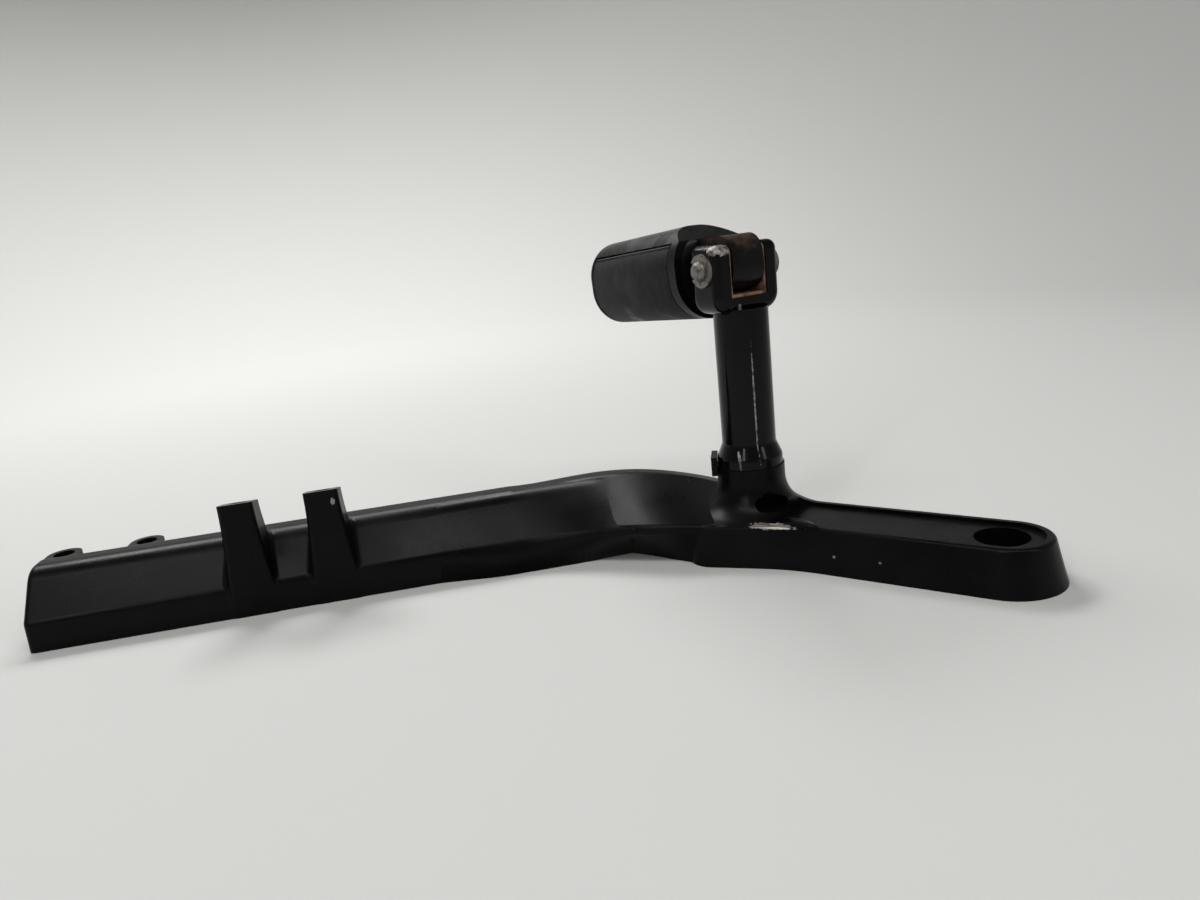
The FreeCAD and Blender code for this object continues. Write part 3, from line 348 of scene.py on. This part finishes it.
def finished(name, shape):
    """Smooth object of a finished mesh, at the origin."""
    for face in shape.faces:
        face.smooth = True
    mesh = bpy.data.meshes.new(name)
    shape.to_mesh(mesh)
    shape.free()
    piece = bpy.data.objects.new(name, mesh)
    bpy.context.scene.collection.objects.link(piece)
    return piece


def at_hinge(along, back, up):
    """Point from the hinge in metres: along its axis, to the folded peg's side, and up."""
    return HINGE_POINT + HINGE_AXIS * along + FOLD_WAY * back + UP * up


def dress(material, *names):
    """Give CAD nodes a material."""
    for name in names:
        mesh = frame["nodes"][name].data
        mesh.materials.clear()
        mesh.materials.append(material)


CASTING_CHIPS = {
    "crease scuff": {"centre": (-0.0712, 0.0470, 0.0172), "radii": (0.0130, 0.0016, 0.0014), "turn": -0.56,
                     "grain": 0.0012},
    "near speck": {"centre": (-0.0528, 0.0288, 0.0072), "radii": (0.0006, 0.0006, 0.0006), "grain": 0.0006},
    "far speck": {"centre": (-0.0403, 0.0157, 0.0073), "radii": (0.0005, 0.0005, 0.0005), "grain": 0.0006},
    "boss top fleck": {"centre": (-0.2428, 0.0899, 0.0440), "radii": (0.0009, 0.0012, 0.0016),
                       "grain": 0.0008},
    "boss side fleck": {"centre": (-0.2388, 0.0899, 0.0342), "radii": (0.0006, 0.0009, 0.0008),
                        "grain": 0.0006},
}


class FOOTPEG_OT_casting(bpy.types.Operator):
    """Paint the cast bracket satin black, with the bare scuffs of use"""
    bl_idname = "footpeg.casting"
    bl_label = "Casting paint"

    def execute(self, context):
        finish = context.scene.footpeg_casting
        material, tree, shader = new_material("casting_paint")
        coords = object_coords(tree)
        marks = spots(tree, coords, CASTING_CHIPS)
        cloud = noise(tree, coords, finish.patch, 4.0)
        fine = noise(tree, coords, finish.grain, 3.0)
        dusty = [channel * finish.dust for channel in finish.colour]
        paint = mix_colour(tree, ramp(tree, cloud, 0.35, 0.75), finish.colour, dusty)
        link(tree, shader, Base_Color=mix_colour(tree, marks, paint, finish.bare),
             Roughness=ramp(tree, cloud, 0.3, 0.7, finish.roughness - 0.06, finish.roughness + 0.07),
             Metallic=math_node(tree, "MULTIPLY", marks, 0.8))
        shader.inputs["Specular IOR Level"].default_value = finish.gloss
        relief = math_node(tree, "SUBTRACT", math_node(tree, "MULTIPLY", fine, 0.35), marks)
        bump(tree, shader, relief, finish.relief)
        dress(material, "bracket")
        return {"FINISHED"}


def eased(place, start, end):
    """Share of the way from one place to another, slow at both ends."""
    share = min(max((place - start) / (end - start), 0.0), 1.0)
    return share * share * (3 - 2 * share)


def rounded_line(corners, reaches, steps=6):
    """Points along a bent line whose inner corners are rounded over a reach each way."""
    line = [corners[0]]
    for before, corner, after, reach in zip(corners, corners[1:], corners[2:], reaches):
        start = corner + (before - corner).normalized() * reach
        end = corner + (after - corner).normalized() * reach
        for step in range(steps + 1):
            share = step / steps
            line.append(start.lerp(corner, share).lerp(corner.lerp(end, share), share))
    return line + [corners[-1]]


def skin_section(skin, x):
    """Skin's outer line at a distance along the bar: foot, knee or ledge, crown and back, as (y, z)."""
    share = max((x - skin.turn) / (skin.end - skin.turn), 0.0) ** skin.gather
    pairs = ((skin.bar_knee, skin.elbow_ledge), (skin.bar_crown, skin.elbow_crown),
             (skin.bar_back, skin.elbow_back))
    ledge, crown, back = [Vector(bar).lerp(Vector(elbow), share) for bar, elbow in pairs]
    toe = skin.toe * eased(x, skin.start, skin.turn)
    settled = eased(x, (skin.turn + skin.end) / 2, skin.end)
    foot = Vector((skin.bar_foot[0] - toe, 0.0)).lerp(Vector(skin.elbow_foot), settled)
    risen = min(eased(x, skin.start, skin.start + skin.fade), eased(x, skin.end, skin.end - skin.fade))
    out = risen * (skin.proud + skin.sink) - skin.sink
    corners = [foot - Vector((out, 0)), ledge - Vector((out, 0)), crown + Vector((-out, out)),
               back - Vector((0, skin.tuck))]
    ledge_reach = skin.knee_round + (skin.ledge_round - skin.knee_round) * share
    return rounded_line(corners, (ledge_reach, skin.crown_round))


def skin_form(skin, steps=32):
    """Closed sheet over the casting from bar to elbow: an outer face, and an inner one towards the hollow."""
    shape = bmesh.new()
    hollow = Vector((skin.bar_crown[0], skin.bar_knee[1] / 2))
    rings = []
    for step in range(steps + 1):
        x = skin.start + (skin.end - skin.start) * step / steps
        outer = skin_section(skin, x)
        inner = [point + (hollow - point).normalized() * skin.thick for point in reversed(outer)]
        rings.append([shape.verts.new((POST.x + x, POST.y + y, z)) for y, z in outer + inner])
    for ring, following in zip(rings, rings[1:]):
        for i, vert in enumerate(ring):
            shape.faces.new((ring[i - 1], vert, following[i], following[i - 1]))
    for ring in (rings[0], rings[-1]):
        for i in range(len(ring) // 2 - 1):
            shape.faces.new((ring[i], ring[i + 1], ring[-i - 2], ring[-i - 1]))
    bmesh.ops.recalc_face_normals(shape, faces=shape.faces)
    return shape


class FOOTPEG_OT_elbow(bpy.types.Operator):
    """Lay a smooth sheet over the casting's uneven stretch where the bar turns into the elbow"""
    bl_idname = "footpeg.elbow"
    bl_label = "Elbow skin"

    def execute(self, context):
        piece = finished("elbow_skin", skin_form(context.scene.footpeg_skin))
        piece.data.materials.append(bpy.data.materials["casting_paint"])
        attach(piece, "bracket")
        return {"FINISHED"}


# Chips on the ear and the clevis are real wear; the long and short lines down the post are painted
# highlights, bright bare steel standing in for the gloss paint's reflection.
POST_CHIPS_AND_HIGHLIGHTS = {
    "ear chip": {"centre": at_hinge(-0.0125, -0.0072, 0.0078), "radii": (0.0062, 0.0050, 0.0026),
                 "turn": HINGE_TURN},
    "clevis chip": {"centre": at_hinge(-0.0055, -0.0090, -0.0156), "radii": (0.0010, 0.0010, 0.0016),
                    "grain": 0.0010},
    # Painted highlights: two bright lines down the post.
    "long painted highlight": {"centre": (-0.0693, 0.0600, 0.0650), "radii": (0.0004, 0.0050, 0.0260), "grain": 0.0008},
    "short painted highlight": {"centre": (-0.0770, 0.0624, 0.0440), "radii": (0.0006, 0.0016, 0.0075), "grain": 0.0008},
}


class FOOTPEG_OT_post(bpy.types.Operator):
    """Paint the post and its clevis gloss black, chipped on one ear, with painted highlight lines down the
    post
    """
    bl_idname = "footpeg.post"
    bl_label = "Post paint"

    def execute(self, context):
        finish = context.scene.footpeg_steel
        material, tree, shader = new_material("post_paint")
        coords = object_coords(tree)
        # Mask of the chips and of the painted highlight lines; both take the bare steel colour below.
        marks = spots(tree, coords, POST_CHIPS_AND_HIGHLIGHTS)
        runs = noise(tree, coords, finish.runs, 2.0, stretch=(1, 1, 9))
        cloud = noise(tree, coords, 0.016, 3.0)
        pits = ramp(tree, noise(tree, coords, 0.0016, 4.0), 0.35, 0.7)
        bare = mix_colour(tree, pits, finish.bare, finish.pitted)
        gloss = ramp(tree, cloud, 0.35, 0.7, finish.roughness - 0.05, finish.roughness + 0.08)
        link(tree, shader, Base_Color=mix_colour(tree, marks, finish.colour, bare),
             Roughness=math_node(tree, "MULTIPLY_ADD", marks, 0.35, gloss),
             Metallic=math_node(tree, "MULTIPLY", marks, 0.7))
        shader.inputs["Specular IOR Level"].default_value = finish.gloss
        relief = math_node(tree, "SUBTRACT", math_node(tree, "MULTIPLY", runs, 0.5), marks)
        bump(tree, shader, relief, 0.00022)
        dress(material, "peg_post")
        return {"FINISHED"}


class FOOTPEG_OT_hinge(bpy.types.Operator):
    """Finish the saddle, pin, ring, bolt and washer"""
    bl_idname = "footpeg.hinge"
    bl_label = "Hinge finishes"

    def execute(self, context):
        finish = context.scene.footpeg_steel
        material, tree, shader = new_material("rubbed_saddle")
        stain = noise(tree, object_coords(tree), 0.004, 5.0)
        rusty = ramp(tree, stain, 0.38, 0.68)
        link(tree, shader, Base_Color=mix_colour(tree, rusty, finish.copper, finish.rust),
             Roughness=ramp(tree, stain, 0.3, 0.7, 0.38, 0.75),
             Metallic=ramp(tree, stain, 0.35, 0.65, 0.75, 0.1))
        bump(tree, shader, stain, 0.00012)
        dress(material, "slot_liner")
        material, tree, shader = new_material("worn_plating")
        stain = noise(tree, object_coords(tree), 0.0022, 5.0)
        rusty = ramp(tree, stain, 0.50, 0.72)
        link(tree, shader, Base_Color=mix_colour(tree, rusty, finish.bright, finish.rust),
             Roughness=ramp(tree, stain, 0.3, 0.75, 0.34, 0.62),
             Metallic=ramp(tree, stain, 0.5, 0.75, 0.9, 0.2))
        bump(tree, shader, stain, 0.0001)
        dress(material, "pivot_pin", "pin_ring", "post_bolt", "post_bolt_washer")
        return {"FINISHED"}


TONGUE_RUST = {"centre": at_hinge(0, 0.001, 0.0115), "radii": (0.012, 0.014, 0.0095), "turn": HINGE_TURN,
               "ragged": 0.5, "grain": 0.004, "soft": 0.5}


class FOOTPEG_OT_peg_metal(bpy.types.Operator):
    """Paint the peg's metal black, rusted where the tongue shows in the clevis"""
    bl_idname = "footpeg.peg_metal"
    bl_label = "Peg metal"

    def execute(self, context):
        finish = context.scene.footpeg_steel
        material, tree, shader = new_material("peg_paint")
        coords = object_coords(tree)
        rusty = spot(tree, coords, **TONGUE_RUST)
        stain = noise(tree, coords, 0.003, 6.0)
        old = mix_colour(tree, ramp(tree, stain, 0.35, 0.68), finish.rust, finish.old_rust)
        cloud = noise(tree, coords, 0.012, 3.0)
        smooth = ramp(tree, cloud, 0.35, 0.7, 0.26, 0.40)
        link(tree, shader, Base_Color=mix_colour(tree, rusty, finish.colour, old),
             Roughness=math_node(tree, "MULTIPLY_ADD", rusty, 0.35, smooth))
        shader.inputs["Specular IOR Level"].default_value = finish.gloss
        bump(tree, shader, math_node(tree, "MULTIPLY_ADD", stain, 0.6, cloud), 0.00015)
        dress(material, "peg_core")
        return {"FINISHED"}


def rubber_form(pad):
    """Moulded pad along +Y from the hinge axis: a tapering round section, cut flat under the metal back."""
    shape = bmesh.new()
    half, tall = pad.width / 2, pad.height / 2
    outline = ((-half, -tall), (half, -tall), (half, tall), (-half, tall))
    corners = [shape.verts.new((x, pad.start, z - pad.drop)) for x, z in outline]
    shape.faces.new(corners)
    bmesh.ops.bevel(shape, geom=corners, offset=half * pad.roundness, offset_type="OFFSET", segments=18,
                    profile=0.5, affect="VERTICES", material=-1)
    grown = bmesh.ops.extrude_face_region(shape, geom=shape.faces[:])
    end = [item for item in grown["geom"] if isinstance(item, bmesh.types.BMVert)]
    bmesh.ops.translate(shape, verts=end, vec=(0, pad.end - pad.start, 0))
    bmesh.ops.scale(shape, verts=end, vec=(pad.end_width / pad.width, 1, pad.end_height / pad.height),
                    space=Matrix.Translation((0, 0, pad.drop)))
    bmesh.ops.recalc_face_normals(shape, faces=shape.faces)
    upward = (0, math.sin(pad.level_fall), math.cos(pad.level_fall))
    cut = bmesh.ops.bisect_plane(shape, geom=shape.verts[:] + shape.edges[:] + shape.faces[:],
                                 plane_co=(0, pad.start, pad.level), plane_no=upward, clear_outer=True)
    rim = [item for item in cut["geom_cut"] if isinstance(item, bmesh.types.BMEdge)]
    bmesh.ops.edgeloop_fill(shape, edges=rim)
    sharp = [edge for edge in shape.edges if edge.is_manifold and edge.calc_face_angle() > SHARP_ANGLE]
    bmesh.ops.bevel(shape, geom=sharp, offset=pad.edge, offset_type="OFFSET", segments=3, profile=0.5,
                    affect="EDGES", material=-1)
    return shape


class FOOTPEG_OT_rubber(bpy.types.Operator):
    """Mould the peg's rubber pad, with its scuffs and smudges"""
    bl_idname = "footpeg.rubber"
    bl_label = "Rubber pad"

    def execute(self, context):
        pad = context.scene.footpeg_rubber
        shape = rubber_form(pad)
        turned = Matrix.Rotation(HINGE_TURN, 4, "Z") @ Matrix.Rotation(-pad.droop, 4, "X")
        bmesh.ops.transform(shape, matrix=Matrix.Translation(HINGE_POINT) @ turned, verts=shape.verts)
        piece = finished("pad_rubber", shape)
        material, tree, shader = new_material("scuffed_rubber")
        coords = object_coords(tree)
        patches = noise(tree, coords, pad.patch, 6.0)
        scuffs = noise(tree, coords, pad.scuff, 5.0, stretch=(1, 1, 2.5))
        fine = noise(tree, coords, pad.grain, 3.0)
        grey = [channel * pad.scuff_grey for channel in pad.colour]
        greyed = mix_colour(tree, ramp(tree, scuffs, 0.35, 0.70), pad.colour, grey)
        colour = mix_colour(tree, ramp(tree, patches, 0.53, 0.64), greyed, pad.smudge)
        link(tree, shader, Base_Color=colour, Roughness=ramp(tree, patches, 0.5, 0.7, pad.roughness, 0.35))
        shader.inputs["Specular IOR Level"].default_value = pad.gloss
        relief = math_node(tree, "MULTIPLY_ADD", scuffs, 0.6, fine)
        bump(tree, shader, relief, pad.relief)
        piece.data.materials.append(material)
        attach(piece, "peg")
        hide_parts("peg_pad")
        return {"FINISHED"}


LIT_POINT = (-0.15, 0.06, 0.04)
LAMPS = {
    "softbox_behind": {"place": (-0.42, 1.04, 1.10), "size": (1.1, 0.40), "aim": (-0.33, 0.64, 0.0)},
    "softbox_above": {"place": (-0.27, -0.33, 0.95), "size": (1.15, 0.12), "aim": LIT_POINT},
    "strip_left": {"place": (-0.85, -0.75, 0.80), "size": (0.10, 0.7), "aim": LIT_POINT},
    "strip_right": {"place": (0.62, -0.85, 0.80), "size": (0.10, 0.7), "aim": LIT_POINT},
}


def area_light(name, place, size, aim, power):
    """Softbox of a width and height that faces a point."""
    light = bpy.data.lights.new(name, "AREA")
    light.shape = "RECTANGLE"
    light.size, light.size_y = size
    light.energy = power
    lamp = bpy.data.objects.new(name, light)
    lamp.location = place
    lamp.rotation_euler = (Vector(aim) - Vector(place)).to_track_quat("-Z", "Y").to_euler()
    bpy.context.scene.collection.objects.link(lamp)


def sweep_floor(middle, radius):
    """Round floor whose rim sweeps up into a wall."""
    centre = Vector(middle)
    sweep = bmesh.new()
    profile = ((0, 0, 0), (radius, 0, 0), (radius, 0, radius))
    line = [sweep.verts.new(centre + Vector(point)) for point in profile]
    for pair in zip(line, line[1:]):
        sweep.edges.new(pair)
    bmesh.ops.bevel(sweep, geom=[line[1]], offset=radius / 2, offset_type="OFFSET", segments=16, profile=0.5,
                    affect="VERTICES", material=-1)
    bmesh.ops.spin(sweep, geom=sweep.verts[:] + sweep.edges[:], cent=centre, axis=UP, angle=2 * math.pi,
                   steps=64, use_merge=True)
    bmesh.ops.remove_doubles(sweep, verts=sweep.verts, dist=1e-5)
    bmesh.ops.recalc_face_normals(sweep, faces=sweep.faces)
    return finished("studio_floor", sweep)


class FOOTPEG_OT_studio(bpy.types.Operator):
    """Pale floor that sweeps up all round, soft light, and the camera"""
    bl_idname = "footpeg.studio"
    bl_label = "Studio"

    def execute(self, context):
        settings = context.scene.footpeg_studio
        material, tree, shader = new_material("pale_floor")
        shader.inputs["Base Color"].default_value = (*settings.floor, 1.0)
        shader.inputs["Roughness"].default_value = settings.floor_roughness
        shader.inputs["Specular IOR Level"].default_value = settings.floor_gloss
        floor = sweep_floor(settings.floor_middle, settings.floor_radius)
        floor.data.materials.append(material)
        powers = (settings.key_power, settings.top_power, settings.strip_power, settings.strip_power)
        for (name, lamp), power in zip(LAMPS.items(), powers):
            area_light(name, power=power, **lamp)
        world = bpy.data.worlds.new("studio_world")
        world.use_nodes = True
        sky = world.node_tree.nodes["Background"]
        sky.inputs["Color"].default_value = (1, 1, 1, 1)
        sky.inputs["Strength"].default_value = settings.sky
        context.scene.world = world
        lens = bpy.data.cameras.new("photo_camera")
        lens.lens = settings.lens
        lens.sensor_width = settings.sensor
        lens.clip_start = settings.nearest
        camera = bpy.data.objects.new("photo_camera", lens)
        camera.location = settings.camera_place
        camera.rotation_euler = settings.camera_turn
        context.scene.collection.objects.link(camera)
        context.scene.camera = camera
        context.scene.view_settings.view_transform = "Standard"
        return {"FINISHED"}


STEPS = [FOOTPEG_OT_casting, FOOTPEG_OT_elbow, FOOTPEG_OT_post, FOOTPEG_OT_hinge, FOOTPEG_OT_peg_metal,
         FOOTPEG_OT_rubber, FOOTPEG_OT_studio]


class FOOTPEG_PT_panel(bpy.types.Panel):
    """Sidebar list of the steps"""
    bl_idname = "FOOTPEG_PT_panel"
    bl_label = "Foot-peg support"
    bl_space_type = "VIEW_3D"
    bl_region_type = "UI"
    bl_category = "Foot peg"

    def draw(self, context):
        for step in STEPS:
            self.layout.operator(step.bl_idname)


GROUPS = {"footpeg_casting": CastingFinish, "footpeg_skin": ElbowSkin, "footpeg_steel": SteelFinish,
          "footpeg_rubber": RubberPad, "footpeg_studio": Studio}


def register():
    """Register the classes and hang the settings on the scene."""
    for group in GROUPS.values():
        bpy.utils.register_class(group)
    for step in STEPS:
        bpy.utils.register_class(step)
    bpy.utils.register_class(FOOTPEG_PT_panel)
    for name, group in GROUPS.items():
        setattr(bpy.types.Scene, name, bpy.props.PointerProperty(type=group))


def unregister():
    """Take them away again."""
    for name in GROUPS:
        delattr(bpy.types.Scene, name)
    bpy.utils.unregister_class(FOOTPEG_PT_panel)
    for step in reversed(STEPS):
        bpy.utils.unregister_class(step)
    for group in GROUPS.values():
        bpy.utils.unregister_class(group)


def main():
    """Make every piece in order."""
    register()
    bpy.ops.footpeg.casting()
    bpy.ops.footpeg.elbow()
    bpy.ops.footpeg.post()
    bpy.ops.footpeg.hinge()
    bpy.ops.footpeg.peg_metal()
    bpy.ops.footpeg.rubber()
    bpy.ops.footpeg.studio()


if __name__ == "__main__":
    main()
